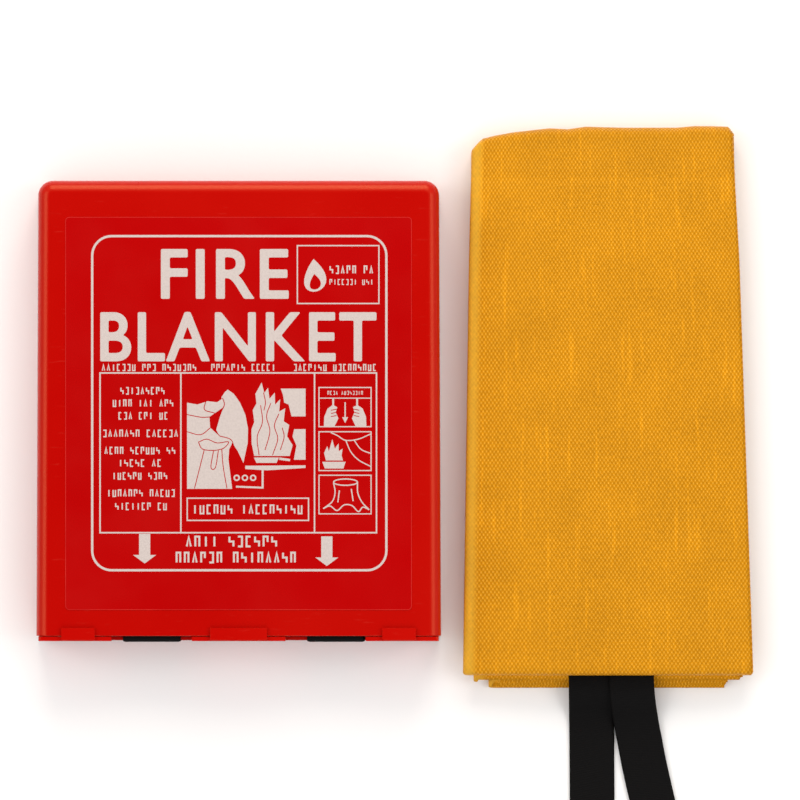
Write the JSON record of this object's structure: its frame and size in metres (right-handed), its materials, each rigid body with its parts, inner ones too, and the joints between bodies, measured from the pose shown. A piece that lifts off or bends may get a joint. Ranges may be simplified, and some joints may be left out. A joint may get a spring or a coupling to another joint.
{
  "type": "fire blanket",
  "caption": "Fire blanket folded into a flat plastic wall case with a hinged bottom flap and pull tapes, and the same blanket shown folded beside it with its pull straps.",
  "frame": {"origin": "middle of the case's back, on the face that goes against the wall", "axes": "+X to the right seen from the front, +Y towards the case's top, +Z out of its front; both pieces lie on their backs on one table"},
  "size_m": [0.385, 0.4331, 0.0397],
  "materials": {
    "case_plastic": "satin red moulded plastic",
    "label_film": "printed self-adhesive film",
    "glass_cloth": "woven glass cloth with a golden silicone coating",
    "black_webbing": "flat woven black webbing"
  },
  "bodies": {
    "case": {"back_plate": "case_plastic", "front_shell": "case_plastic", "front_label": "label_film"},
    "flap": {"bottom_flap": "case_plastic"},
    "packed": {"packed_blanket": "glass_cloth", "tape_left": "black_webbing", "tape_right": "black_webbing"},
    "folded": {"folded_blanket": "glass_cloth", "strap_left": "black_webbing", "strap_right": "black_webbing"}
  },
  "joints": [
    {"name": "blanket_draw", "type": "slide", "parent": "case", "child": "packed", "axis": [0, -1, 0], "range_m": [0, 0.26], "deforming": ["packed_blanket", "tape_left", "tape_right"]},
    {"name": "flap_hinge", "type": "hinge", "parent": "case", "child": "flap", "pos_m": [0, -0.12215, 0.0032], "axis": [1, 0, 0], "range_deg": [0, 90]},
    {"name": "blanket_lift", "type": "slide", "parent": "case", "child": "folded", "axis": [0, 0, 1], "range_m": [0, 0.15]}
  ],
  "couplings": [
    {"joint": "flap_hinge", "follows": "blanket_draw", "rad_per_m": 6.04}
  ]
}
